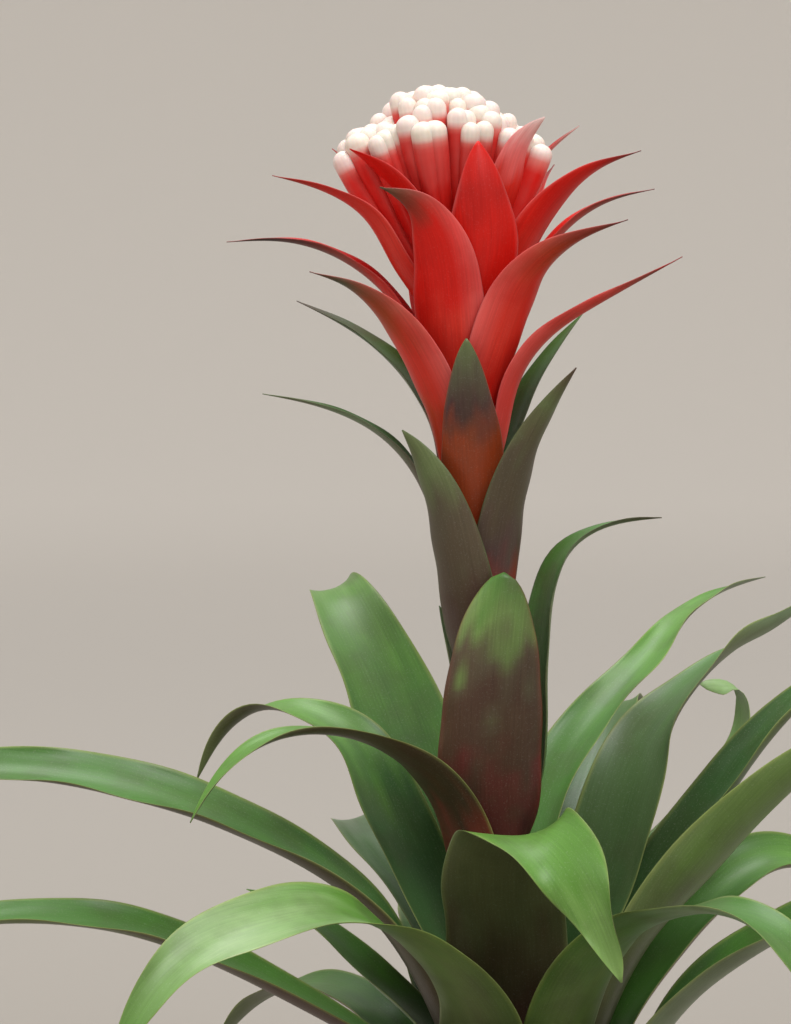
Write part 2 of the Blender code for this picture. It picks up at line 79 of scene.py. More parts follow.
def shadeAlong(names, t):
    # The named shades stand at even steps along 0 to 1, and t reads the blend between the two beside it.
    stops = np.array([shades[name] for name in names.split()])
    places = np.linspace(0, 1, len(stops))
    return np.stack([np.interp(t, places, stops[:, k]) for k in range(3)], -1)


def mixPaint(under, over, share):
    # The under colour where the share is 0, the over colour where it is 1.
    return np.asarray(under) * (1 - share[..., None]) + np.asarray(over) * share[..., None]


def evenCurve(points, count):
    # Natural cubic spline through the points, knots spaced by chord length to the power 0.8,
    # read again at equal steps of arc length.
    points = np.asarray(points, float)
    last = len(points) - 1
    gaps = np.linalg.norm(np.diff(points, axis=0), axis=1) ** 0.8
    knots = np.concatenate([[0.0], np.cumsum(gaps)])
    system, wanted, inner = np.eye(last + 1), np.zeros_like(points), np.arange(1, last)
    system[inner, inner - 1] = gaps[:-1]
    system[inner, inner] = 2 * (gaps[:-1] + gaps[1:])
    system[inner, inner + 1] = gaps[1:]
    wanted[1:-1] = 6 * np.diff(np.diff(points, axis=0) / gaps[:, None], axis=0)
    bends = np.linalg.solve(system, wanted)
    places = np.linspace(0, knots[-1], 601)
    span = np.clip(np.searchsorted(knots, places, side="right") - 1, 0, last - 1)
    before, after = (places - knots[span])[:, None], (knots[span + 1] - places)[:, None]
    gap = gaps[span][:, None]
    curve = (
        (bends[span] * after**3 + bends[span + 1] * before**3) / (6 * gap)
        + (points[span + 1] / gap - bends[span + 1] * gap / 6) * before
        + (points[span] / gap - bends[span] * gap / 6) * after
    )
    lengths = np.concatenate([[0.0], np.cumsum(np.linalg.norm(np.diff(curve, axis=0), axis=1))])
    even = np.linspace(0, lengths[-1], count)
    return np.stack([np.interp(even, lengths, curve[:, k]) for k in range(3)], 1), lengths[-1]


def ringFaces(rows, ring):
    # Quads between each ring and the next, closed round the ring.
    index = np.arange(rows * ring).reshape(rows, ring)
    beside = np.roll(index, -1, axis=1)
    return np.stack([index[:-1], beside[:-1], beside[1:], index[1:]], -1).reshape(-1, 4)


def capEnds(faces, rows, segments):
    # The same faces, with one over the first ring and one over the last.
    last = (rows - 1) * segments
    return faces.tolist() + [list(range(segments))[::-1], list(range(last, last + segments))]


def turnedSurface(profile, segments):
    # A profile of radius and height turned round the Z axis, with a flat face over each end.
    r, z = np.asarray(profile, float).T[..., None]
    around = 2 * np.pi * np.arange(segments) / segments
    points = np.stack([r * np.cos(around), r * np.sin(around), z + 0 * around], -1)
    return points, capEnds(ringFaces(len(r), segments), len(r), segments)


def newMesh(name, points, faces):
    mesh = bpy.data.meshes.new(name)
    mesh.from_pydata(points.reshape(-1, 3).tolist(), [], faces)
    return mesh


def newObject(name, data):
    placed = bpy.data.objects.new(name, data)
    bpy.context.scene.collection.objects.link(placed)
    return placed


def makePiece(name, surface, material, nodes=()):
    # A surface is its points and faces and, for the living skins, a map and a paint at every point.
    points, faces, *skin = surface
    mesh = newMesh(name, points, faces)
    if skin:
        maps, paint = skin
        corner = np.empty(len(mesh.loops), np.int32)
        mesh.loops.foreach_get("vertex_index", corner)
        layer = mesh.uv_layers.new(name="lengthMap")
        layer.uv.foreach_set("vector", maps.reshape(-1, 2)[corner].astype(np.float32).ravel())
        colour = mesh.attributes.new("paint", "FLOAT_COLOR", "POINT")
        full = np.concatenate([paint.reshape(-1, 3), np.ones((len(mesh.vertices), 1))], 1)
        colour.data.foreach_set("color", full.astype(np.float32).ravel())
    mesh.validate()
    mesh.shade_smooth()
    mesh.materials.append(material)
    piece = newObject(name, mesh)
    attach(piece, "root")
    if nodes:
        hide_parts(*nodes)
    return piece


# Materials


def addNode(tree, kind, values=None, **settings):
    node = tree.nodes.new(kind)
    for key, value in settings.items():
        setattr(node, key, value)
    for key, value in (values or {}).items():
        node.inputs[key].default_value = value
    return node


def feed(tree, sockets, values):
    # A value is a number or a colour, or the socket that the link comes from.
    for socket, value in zip(sockets, values):
        if isinstance(value, bpy.types.NodeSocket):
            tree.links.new(value, socket)
        else:
            socket.default_value = value


def calculate(tree, operation, a, b=0.0, c=0.0):
    node = addNode(tree, "ShaderNodeMath", operation=operation)
    feed(tree, node.inputs, (a, b, c))
    return node.outputs[0]


def blendColours(tree, share, first, second):
    node = addNode(tree, "ShaderNodeMix", data_type="RGBA")
    feed(tree, (node.inputs[0], node.inputs[6], node.inputs[7]), (share, first, second))
    return node.outputs[2]


def objectPlace(tree):
    return addNode(tree, "ShaderNodeTexCoord").outputs["Object"]


def noiseOn(tree, vector, scale, detail, stretch=(1, 1, 1)):
    # Noise on a stretched vector, 0 to 1, about 0.5.
    place = addNode(tree, "ShaderNodeMapping", {"Scale": stretch})
    tree.links.new(vector, place.inputs["Vector"])
    noise = addNode(tree, "ShaderNodeTexNoise", {"Scale": scale, "Detail": detail, "Roughness": 0.55})
    tree.links.new(place.outputs[0], noise.inputs["Vector"])
    return noise.outputs[0]


def rampUp(tree, value, low, high):
    limits = {"From Min": low, "From Max": high}
    node = addNode(tree, "ShaderNodeMapRange", limits, interpolation_type="SMOOTHSTEP")
    tree.links.new(value, node.inputs["Value"])
    return node.outputs[0]


def groupEnds(tree, inputs, outputs):
    for name, value in inputs.items():
        kind = "NodeSocketFloat" if isinstance(value, float) else "NodeSocketColor"
        tree.interface.new_socket(name, in_out="INPUT", socket_type=kind).default_value = value
    for name, kind in outputs.items():
        tree.interface.new_socket(name, in_out="OUTPUT", socket_type=kind)
    return addNode(tree, "NodeGroupInput"), addNode(tree, "NodeGroupOutput")


grain = {
    "streaks": (900, 22, 1), "fineStreaks": (2600, 60, 1), "wander": (60, 14, 1), "veinTurn": 3900.0,
    "blotches": 38.0, "specks": 1500.0, "scurf": (0.55, 0.56, 0.50, 1),
}


def buildLeafSkin():
    # Living skin over the painted shades: long streaks, parallel veins, soft blotches and fine pale scurf.
    # Distances come from lengthMap, whose u runs across the blade and v along it, both in metres.
    tree = bpy.data.node_groups.new("leafSkin", "ShaderNodeTree")
    given, out = groupEnds(
        tree,
        {"Paint": (0.1, 0.2, 0.05, 1), "Flush": (0.1, 0.04, 0.03, 1), "Flush Amount": 0.3, "Streaks": 0.3,
         "Veins": 0.3, "Scurf": 0.1, "Shine": 0.35},
        {"Color": "NodeSocketColor", "Roughness": "NodeSocketFloat", "Height": "NodeSocketFloat"},
    )
    lengths = addNode(tree, "ShaderNodeUVMap", uv_map="lengthMap").outputs[0]
    place = objectPlace(tree)
    split = addNode(tree, "ShaderNodeSeparateXYZ")
    tree.links.new(lengths, split.inputs[0])
    streak = noiseOn(tree, lengths, 1.0, 4.0, grain["streaks"])
    fineStreak = noiseOn(tree, lengths, 1.0, 2.0, grain["fineStreaks"])
    blotch = noiseOn(tree, place, grain["blotches"], 3.0)
    speck = noiseOn(tree, place, grain["specks"], 2.0)
    wander = noiseOn(tree, lengths, 1.0, 1.0, grain["wander"])
    wander = calculate(tree, "MULTIPLY", wander, 2.0)
    across = calculate(tree, "MULTIPLY_ADD", split.outputs[0], grain["veinTurn"], wander)
    vein = calculate(tree, "MULTIPLY_ADD", calculate(tree, "SINE", across), 0.5, 0.5)

    flushShare = calculate(tree, "MULTIPLY", rampUp(tree, blotch, 0.42, 0.68), given.outputs["Flush Amount"])
    flushed = blendColours(tree, flushShare, given.outputs["Paint"], given.outputs["Flush"])
    lift = calculate(tree, "SUBTRACT", calculate(tree, "ADD", streak, fineStreak), 1.0)
    lift = calculate(tree, "MULTIPLY", lift, given.outputs["Streaks"])
    veinLift = calculate(tree, "MULTIPLY", calculate(tree, "SUBTRACT", vein, 0.5), given.outputs["Veins"])
    veinLift = calculate(tree, "MULTIPLY", veinLift, 0.25)
    gain = calculate(tree, "ADD", 1.0, calculate(tree, "MULTIPLY_ADD", lift, 1.6, veinLift))
    tone = addNode(tree, "ShaderNodeHueSaturation")
    tree.links.new(flushed, tone.inputs["Color"])
    tree.links.new(gain, tone.inputs["Value"])
    scurfShare = calculate(tree, "MULTIPLY", rampUp(tree, speck, 0.56, 0.72), given.outputs["Scurf"])
    dusted = blendColours(tree, scurfShare, tone.outputs[0], grain["scurf"])
    tree.links.new(dusted, out.inputs["Color"])

    rough = calculate(tree, "SUBTRACT", streak, 0.5)
    rough = calculate(tree, "MULTIPLY_ADD", rough, 0.25, given.outputs["Shine"])
    rough = calculate(tree, "MULTIPLY_ADD", scurfShare, 0.35, rough)
    tree.links.new(rough, out.inputs["Roughness"])
    height = calculate(tree, "MULTIPLY", vein, given.outputs["Veins"])
    height = calculate(tree, "MULTIPLY_ADD", fineStreak, 0.35, height)
    height = calculate(tree, "MULTIPLY_ADD", speck, 0.08, height)
    tree.links.new(height, out.inputs["Height"])
    return tree


def addRelief(tree, shader, height, depth):
    # The height, from 0 to 1, stands for a relief of this depth in millimetres.
    bump = addNode(tree, "ShaderNodeBump", {"Distance": depth * mm, "Strength": 1.0})
    tree.links.new(height, bump.inputs["Height"])
    tree.links.new(bump.outputs[0], shader.inputs["Normal"])


def plainMaterial(name, looks):
    material = bpy.data.materials.new(name)
    material.use_nodes = True
    tree = material.node_tree
    shader = tree.nodes["Principled BSDF"]
    for key, value in looks.items():
        shader.inputs[key].default_value = value
    return material, tree, shader


leafSkin = buildLeafSkin()


def skinMaterial(name, looks, relief, shaderLooks):
    # The painted shades through the leafSkin group, with its height as a shallow relief.
    material, tree, shader = plainMaterial(name, shaderLooks)
    paint = addNode(tree, "ShaderNodeAttribute", attribute_name="paint", attribute_type="GEOMETRY")
    skin = addNode(tree, "ShaderNodeGroup", node_tree=leafSkin)
    for key, value in zip(("Flush", "Flush Amount", "Streaks", "Veins", "Scurf", "Shine"), looks):
        skin.inputs[key].default_value = value
    tree.links.new(paint.outputs["Color"], skin.inputs["Paint"])
    tree.links.new(skin.outputs["Color"], shader.inputs["Base Color"])
    tree.links.new(skin.outputs["Roughness"], shader.inputs["Roughness"])
    addRelief(tree, shader, skin.outputs["Height"], relief)
    return material


# Flush colour and amount, streaks, veins, scurf and shine, then the relief and the shader's own values.
green = {"Specular IOR Level": 0.35}
leafLooks = ((0.055, 0.060, 0.025, 1), 0.30, 0.22, 0.16, 0.08, 0.40)
leafMaterial = skinMaterial("livingLeaf", leafLooks, 0.05, green)
bractLooks = ((0.085, 0.050, 0.030, 1), 0.45, 0.26, 0.14, 0.06, 0.42)
bractMaterial = skinMaterial("greenBract", bractLooks, 0.04, green)
redLooks = ((0.500, 0.010, 0.006, 1), 0.40, 0.22, 0.10, 0.03, 0.42)
redMaterial = skinMaterial("redBract", redLooks, 0.03, {"Specular IOR Level": 0.18})
floretLooks = ((0.950, 0.820, 0.740, 1), 0.05, 0.05, 0.15, 0.00, 0.45)
waxy = {"Subsurface Weight": 0.15, "Subsurface Scale": 0.003}
floretMaterial = skinMaterial("floretSkin", floretLooks, 0.05, waxy)
print("materials of the plant made")

# Leaves and bracts

plant = {
    "soilLevel": 100.0, "lean": math.tan(math.radians(4.46)), "crownTop": 26.0, "firstSheath": 8.0,
    "sheathStep": 1.4, "stalkRadius": 5.0, "bractStandoff": 1.2, "widestWrap": 1.45,
}


def axisAt(height):
    # The plant leans: x is minus the height times the lean, and y is 0.
    return np.stack([-plant["lean"] * np.asarray(height, float), 0 * np.asarray(height, float)], -1)


def bladeLine(spec, count):
    # From the sheath's foot, up its flare, then through the midrib's points, given as out, right and up.
    angle = math.radians(spec["bearing"])
    out = np.array([math.cos(angle), math.sin(angle)])
    right = np.array([out[1], -out[0]])
    points = []
    for climb in (0.0, spec["rise"]):
        reach = spec["radius"] + climb * math.tan(math.radians(spec["flare"]))
        points.append([*(axisAt(spec["height"] + climb) + out * reach), spec["height"] + climb])
    root = axisAt(spec["height"])
    for along, aside, up in spec["path"]:
        points.append([*(root + out * (spec["radius"] + along) + right * aside), spec["height"] + up])
    return evenCurve(points, count)


blade = {
    "wrapFade": 0.25, "leastHalf": 0.35, "openBy": 0.35, "shutTrough": 0.35, "rippleFrom": 0.25,
    "rippleFade": 0.3, "marginLag": 0.37, "bodyAt": (0, 0.2, 0.8, 1), "body": (1.1, 0.95, 0.7, 0.35),
    "bodyRound": 0.6, "keelWidth": 0.09, "rimFrom": 0.955, "rimFade": 0.03, "highlightFrom": 0.25, "highlightFade": 0.6,
}


def mottle(across, t, phase):
    # Four crossed waves of uneven length, averaged to lie between -1 and 1.
    # They shift a shade's place along t.
    waves = ((2.3, 1.9), (4.1, -3.7), (1.3, 6.1), (6.7, 4.3))
    turns = [a * across / 2 + b * t + phase * (3 + 5 * k) for k, (a, b) in enumerate(waves)]
    return sum(np.sin(2 * np.pi * turn) for turn in turns) / len(waves)


def bladePaint(spec, across, side, t):
    # The upper face takes the inner run of shades and the under face the outer one. A painted shading across
    # the blade, a painted rose highlight down one side and the margin's own shade go over them.
    place = t + mottle(across, t, spec["phase"]) * spec["mottle"] * np.sin(np.pi * t)
    isInner = np.clip(0.5 + 2 * side, 0, 1)
    paint = mixPaint(shadeAlong(spec["outer"], place), shadeAlong(spec["inner"], place), isInner)
    # Painted shading across the blade: the paint is darkened or brightened from one margin to the other.
    paint = paint * np.interp(across, (-1, 0, 1), spec["paintedCrossShade"])[..., None]
    # pale is a painted highlight in rose down one side of the blade, strongest halfway along it.
    paintedSideHighlight, highlightShare = spec["paintedSideHighlight"]
    pale = np.clip((across * paintedSideHighlight - blade["highlightFrom"]) / blade["highlightFade"], 0, 1)
    paint = mixPaint(paint, shades["rose"], pale * np.sin(np.pi * t) * highlightShare)
    rim = np.clip((np.abs(across) - blade["rimFrom"]) / blade["rimFade"], 0, 1) * spec["marginShare"]
    return mixPaint(paint, shades[spec["margin"]], rim)


def bladeFaces(rows, cells):
    # The rings' quads, and each end closed by strips from its upper edge to its lower one.
    ring = 2 * cells
    faces = ringFaces(rows, ring).tolist()
    for first in (0, (rows - 1) * ring):
        for k in range(cells):
            top, below = first + k, first + (-k) % ring
            nextTop, nextBelow = first + k + 1, first + (-k - 1) % ring
            cap = [top, nextTop, nextBelow, below] if first else [below, nextBelow, nextTop, top]
            faces.append([p for i, p in enumerate(cap) if p != cap[i - 1]])
    return faces


def bladeSurface(spec, rows, cells):
    # A lens-shaped section carried along the midrib. The section's middle line is an arc whose bend is the
    # wrap round the stalk near the sheath and the channel beyond it. Its margins are thin and ripple gently.
    line, length = bladeLine(spec, rows)
    t = np.linspace(0, 1, rows)
    forward = np.gradient(line, axis=0)
    forward /= np.linalg.norm(forward, axis=1)[:, None]
    angle = math.radians(spec["bearing"])
    aside = np.array([math.sin(angle), -math.cos(angle), 0.0])
    right = aside - (forward @ aside)[:, None] * forward
    right /= np.linalg.norm(right, axis=1)[:, None]
    inward = np.cross(right, forward)
    turn = np.radians(np.interp(t, np.linspace(0, 1, len(spec["roll"])), spec["roll"]))
    smooth = np.ones(rows // 8) / (rows // 8)
    turn = np.convolve(np.pad(turn, len(smooth), mode="edge"), smooth, "same")
    turn = turn[len(smooth) : -len(smooth), None]
    right, inward = right * np.cos(turn) + inward * np.sin(turn), inward * np.cos(turn) - right * np.sin(turn)

    distance = np.linalg.norm(line[:, :2] - axisAt(line[:, 2]), axis=1)
    near = np.clip(1 - (t - spec["sheath"]) / blade["wrapFade"], 0, 1)
    half = spec["width"] / 2 * (1 + (spec["share"] - 1) * np.exp(-((t / spec["sheath"]) ** 2)))
    half = half * np.clip(1 - t ** spec["taper"], 0, 1) ** spec["point"]
    half = np.minimum(half, plant["widestWrap"] * distance / np.maximum(near, 0.001))
    half = np.maximum(half, blade["leastHalf"])
    wrap = half / distance * np.clip(forward[:, 2], 0, 1) ** 2 * near
    openUp = np.clip(t / blade["openBy"], 0, 1)
    openUp = blade["shutTrough"] + (1 - blade["shutTrough"]) * openUp**2 * (3 - 2 * openUp)
    trough = math.radians(spec["channel"]) * openUp
    bend = (wrap**4 + trough**4) ** 0.25

    step = np.pi * np.arange(2 * cells) / cells
    across = -np.cos(step)
    side = np.sin(step)
    arc = bend[:, None] * across
    bow = (half / bend)[:, None]
    free = np.clip((t - blade["rippleFrom"]) / blade["rippleFade"], 0, 1)
    waves = t[:, None] * length / spec["rippleLength"] + blade["marginLag"] * np.sign(across) + spec["phase"]
    ripple = np.sin(2 * np.pi * waves)
    lift = spec["ripple"] * ripple * (np.abs(across) ** 4) * (free * np.minimum(1, half / 8))[:, None]
    thick = np.interp(t, blade["bodyAt"], blade["body"])[:, None] / 2
    body = thick * np.sign(side) * np.abs(side) ** blade["bodyRound"] + lift
    body = body - spec["keel"] * np.exp(-((across / blade["keelWidth"]) ** 2)) * (1 - t[:, None])
    reachRight = bow * np.sin(arc) - body * np.sin(arc)
    reachIn = bow * (1 - np.cos(arc)) + body * np.cos(arc)
    points = line[:, None] + reachRight[..., None] * right[:, None] + reachIn[..., None] * inward[:, None]
    points[..., 2] += plant["soilLevel"]

    along = (t * length * mm)[:, None] + 0 * across
    maps = np.stack([half[:, None] * across * mm + spec["phase"], along], -1)
    paint = bladePaint(spec, across[None, :], side[None, :], t[:, None])
    return points * mm, bladeFaces(rows, cells), maps, paint


leafCommon = {
    "rise": 18.0, "sheath": 0.14, "taper": 2.8, "point": 0.85, "keel": 0.25, "ripple": 0.9,
    "rippleLength": 55.0, "margin": "limeEdge", "marginShare": 0.55, "paintedCrossShade": (1, 1, 1),
    "paintedSideHighlight": (1, 0), "mottle": 0.10,
    "inner": "shadow deep green green fresh",
    "outer": "wine umber bronze olive grey",
}

# Bearing, width, channel, share at the sheath, roll, and the midrib as out, right and up, from the innermost
# leaf outwards. What makes one leaf look unlike its neighbours is named after them.
leafRows = [
    (55, 28, 40, 1.0, (0, 4, -4, -8, 0, 15, 25),
     [(10, -6, 68), (25, -10, 104), (49, -8, 134), (75, -3, 154), (101, 0, 169), (124, 0, 182), (140, 0, 188),
      (170, 0, 194), (203, 0, 197)], {"inner": "deep green green fresh green"}),
    (204, 34, 35, 0.85, (0, -15, -25, -10, 0, 0),
     [(24, -6, 119), (46, -11, 140), (73, -13, 152), (104, -11, 152), (126, -10, 139), (139, -8, 120)],
     {"outer": "umber brickRed umber bronze grey",
      "inner": "deep green olive fresh fresh"}),
    (150, 42, 35, 1.0, (0, 5, 15, 20, 0, -10),
     [(33, -9, 90), (47, -11, 119), (60, -13, 141), (81, -16, 152), (101, -21, 154), (117, -27, 143),
      (125, -35, 124)],
     {"outer": "umber bronze olive bronze olive",
      "inner": "shadow deep deep fresh fresh"}),
    (122, 50, 30, 0.68, (0, 10, 22, 22, 10),
     [(39, -8, 108), (67, -8, 149), (95, -8, 180), (121, -5, 198), (146, 8, 196), (160, 28, 168)],
     {"inner": "shadow green green fresh pale"}),
    (-95, 54, 25, 0.64, (0, 0, 0, -18, -24),
     [(25, 2, 72), (49, 2, 105), (76, -10, 122), (96, -27, 113), (103, -40, 91), (103, -48, 69)],
     {"outer": "wine umber brownOlive brownOlive bronze olive",
      "inner": "green green silver fresh fresh lime", "ripple": 2.6, "rippleLength": 48.0,
      "marginShare": 0.3}),
    (27, 46, 40, 0.7, (0, -4, -26, -28, 5, 35, 45),
     [(18, 4, 72), (28, 9, 104), (36, 10, 129), (46, 8, 147), (60, 8, 163), (78, 6, 176), (94, 4, 185),
      (110, 2, 191), (125, 2, 199), (140, 2, 206)],
     {"inner": "shadow deep darkLeaf darkLeaf green silver",
      "outer": "bronze bronze bronze olive silver"}),
    (68, 36, 40, 1.0, (0, 0, 0),
     [(36, 4, 97), (66, 4, 123), (95, 2, 142), (124, -2, 151), (155, -6, 139), (179, -9, 113)],
     {"inner": "shadow deep deep green green green"}),
    (136, 42, 30, 1.0, (0, 5, 15, 22, 22),
     [(23, 7, 53), (49, 11, 80), (77, 16, 98), (101, 29, 104), (115, 56, 95), (117, 84, 71)],
     {"inner": "shadow deep green silver silver"}),
    (91, 37, 35, 0.8, (0, 0, 0),
     [(38, -2, 61), (78, -3, 91), (130, -6, 107), (186, -6, 95), (221, -5, 61), (233, -5, 25)], {}),
    (5, 46, 60, 0.6, (0, -10, -14, -14, -14),
     [(21, 0, 58), (37, 0, 85), (52, 0, 107), (66, 0, 127), (81, 0, 148), (98, 0, 167), (118, 0, 181),
      (136, 0, 182)],
     {"inner": "shadow deep deep deep green",
      "outer": "umber bronze grey olive grey"}),
    (187, 44, 46, 0.9, (0, 0, 10, 24, 30, 30),
     [(31, -15, 72), (52, -16, 95), (95, -14, 121), (136, -11, 137), (193, -6, 147), (226, -4, 142),
      (251, -1, 119)],
     {"inner": "deep deep green green green", "outer": "wine bronze bronze bronze umber"}),
    (39, 33, 35, 0.68, (0, 0, 0, 20),
     [(39, -11, 78), (81, -17, 98), (117, -24, 121), (136, -27, 146), (139, -36, 163), (127, -48, 165)],
     {"outer": "bronze olive grey fresh pale",
      "inner": "deep green green fresh pale",
      "taper": 5.0, "point": 0.6, "roll": (0, 0, 0, 45)}),
    (-130, 44, 35, 0.76, (0, 0, 8, 24, 34, 38),
     [(23, -17, 45), (52, -18, 75), (82, -18, 94), (113, -16, 105), (141, -12, 105), (171, -2, 98),
      (193, 5, 82), (206, 13, 56)],
     {"inner": "green green fresh pale fresh",
      "outer": "darkOlive olive leafOlive green green fresh"}),
    (-54, 42, 35, 0.34, (0, 0, 0, 0),
     [(19, 11, 41), (40, 16, 68), (68, 19, 91), (96, 19, 103), (124, 18, 109), (148, 12, 104), (166, 7, 85),
      (177, 1, 61)],
     {"outer": "darkOlive leafOlive green silver silver",
      "inner": "deep green green green fresh"}),
    (-2, 60, 50, 0.25, (0, 2, 30, 34, 30),
     [(14, 4, 50), (30, 9, 80), (48, 13, 103), (68, 17, 127), (91, 22, 150), (112, 26, 164), (133, 28, 166)],
     {"outer": "umber brownOlive olive leafOlive leafOlive fresh",
      "inner": "shadow deep deep green green"}),
    (168, 30, 35, 0.85, (0, 10, 10), [(9, 6, 30), (30, 4, 54), (52, 1, 75), (71, -2, 88), (87, -5, 95)],
     {"outer": "olive silver silver lime lime"}),
    (112, 38, 35, 1.0, (0, 0, 0),
     [(24, -7, 44), (61, 2, 61), (107, 18, 66), (150, 35, 50), (179, 47, 16), (194, 53, -21)], {}),
    (70, 38, 35, 0.85, (0, 0, 0),
     [(34, -7, 41), (72, -8, 59), (116, -15, 70), (162, -24, 59), (196, -31, 26), (211, -35, -13)], {}),
    (194, 38, 45, 0.85, (0, 5, 15, 15, 10),
     [(21, -11, 33), (51, -12, 52), (84, -12, 71), (116, -12, 87), (149, -12, 97), (187, -11, 100),
      (223, -8, 93), (247, -4, 74)], {"inner": "deep green green green fresh"}),
    (-22, 48, 50, 0.55, (0, -10, -14, -12),
     [(18, 5, 31), (42, 7, 60), (69, 8, 83), (95, 7, 98), (120, 7, 102), (143, 5, 92), (160, 4, 70)],
     {"outer": "olive grey grey grey olive"}),
    (-82, 42, 35, 1.0, (0, 0, 0), [(25, 9, 25), (63, 14, 48), (108, 18, 60), (148, 23, 54), (167, 25, 28)],
     {}),
    (21, 44, 50, 0.5, (0, -12, -24, -20),
     [(6, 0, 36), (18, 0, 58), (34, -1, 76), (56, -2, 97), (79, -3, 109), (103, -4, 106), (125, -4, 87),
      (139, -4, 59)], {"inner": "deep green green fresh fresh"}),
    (150, 40, 35, 1.0, (0, 0, 0), [(24, 12, 30), (58, 28, 44), (96, 46, 44), (132, 60, 28), (160, 68, 2)],
     {}),
]

lastLeaf = len(leafRows) - 1
for place, (bearing, width, channel, share, roll, path, looks) in enumerate(leafRows):
    spec = dict(leafCommon, bearing=bearing, width=width, channel=channel, share=share, roll=roll, path=path)
    spec.update(radius=plant["firstSheath"] + plant["sheathStep"] * place, flare=3.0 + 0.9 * place)
    spec.update(height=plant["crownTop"] * (1 - place / lastLeaf) + 0.6, phase=float(draw.random()))
    spec.update(looks)
    name = f"leaf_{place + 1:02d}"
    makePiece(name, bladeSurface(spec, 84, 14), leafMaterial, [name])
print("leaves made:", len(leafRows))

bractCommon = {
    "rise": 14.0, "keel": 0.2, "ripple": 0.35, "rippleLength": 30.0, "margin": "rose", "marginShare": 0.5,
    "radius": plant["stalkRadius"] + plant["bractStandoff"], "paintedCrossShade": (1, 1, 1), "paintedSideHighlight": (1, 0),
    "mottle": 0.07, "roll": (0, 0, 0),
}
stalkCommon = dict(
    bractCommon, share=0.44, sheath=0.2, margin="bronze", inner="deep deep green",
    outer="mauve bronze olive green",
)
headCommon = dict(
    bractCommon, share=0.32, sheath=0.36, inner="deepRed red red red plumTip",
    outer="red red coral coral red plumTip",
)

# Bearing, root height, width, channel, taper, point, flare, midrib, and what sets the bract apart.
stalkRows = [
    # The first stalk bract is painted darker at one margin and brighter at the other, painted shade and
    # highlight on its rounded back.
    (-92, 94, 46, 30, 4.5, 0.55, 8, [(14, 5, 54), (21, 4, 88), (25, 2, 121), (22, -1, 149)],
     {"outer": "wine wine wineRed wineRed umber umber bronze leafOlive green", "share": 0.33,
      "margin": "brickRed", "paintedCrossShade": (0.85, 0.95, 1.35), "mottle": 0.2}),
    (25, 112, 32, 40, 2.5, 0.9, 9,
     [(12, -2, 40), (16, -4, 78), (18, -4, 108), (26, -3, 134), (42, 3, 146), (65, 11, 150)],
     {"inner": "shadow deep green green", "outer": "olive green olive grey bronze",
      "roll": (0, 0, 0, 0, 20)}),
    (150, 146, 26, 40, 2.5, 0.8, 9, [(9, 1, 40), (15, 2, 61), (21, 3, 79)], {}),
    (-125, 171, 34, 40, 3.0, 0.8, 9, [(9, 0, 42), (18, 0, 74), (24, 4, 101), (28, 11, 119), (32, 17, 130)],
     {"outer": "mauve mauve wineMauve umber bronze bronze olive olive", "margin": "olive"}),
    (-50, 187, 32, 40, 2.6, 0.9, 9, [(4, 1, 46), (13, 4, 78), (25, 3, 108), (42, -7, 140)],
     {"outer": "rust brickRed brickRed wineMauve bronze bronze olive umber", "margin": "olive"}),
    (176, 203, 26, 35, 2.4, 1.0, 11, [(12, 3, 51), (21, 3, 76), (36, 1, 94), (59, -3, 106), (85, -6, 112)],
     {"outer": "brickRed mauve bronze grey olive"}),
    (-88, 224, 31, 30, 3.2, 0.75, 9, [(7, 2, 39), (18, 4, 73), (27, 6, 94), (32, 7, 115)],
     {"outer": "rust rust ember rust rust rust plumTip mossTip olive", "margin": "ember"}),
    (93, 233, 28, 35, 2.2, 0.9, 12, [(13, -2, 37), (26, 1, 61), (42, 7, 82), (59, 16, 95)], {}),
    (28, 246, 26, 35, 2.4, 0.9, 9, [(7, -2, 33), (16, -4, 55), (29, -4, 79), (48, -3, 102)],
     {"outer": "brickRed bronze deep green"}),
    (153, 254, 26, 35, 2.2, 0.9, 15, [(13, 8, 41), (27, 10, 64), (48, 8, 83), (78, 2, 99)],
     {"outer": "red brickRed grey deep umber", "inner": "brickRed deep green umber"}),
]
whiteEnd = "red red red red red coral rose white"
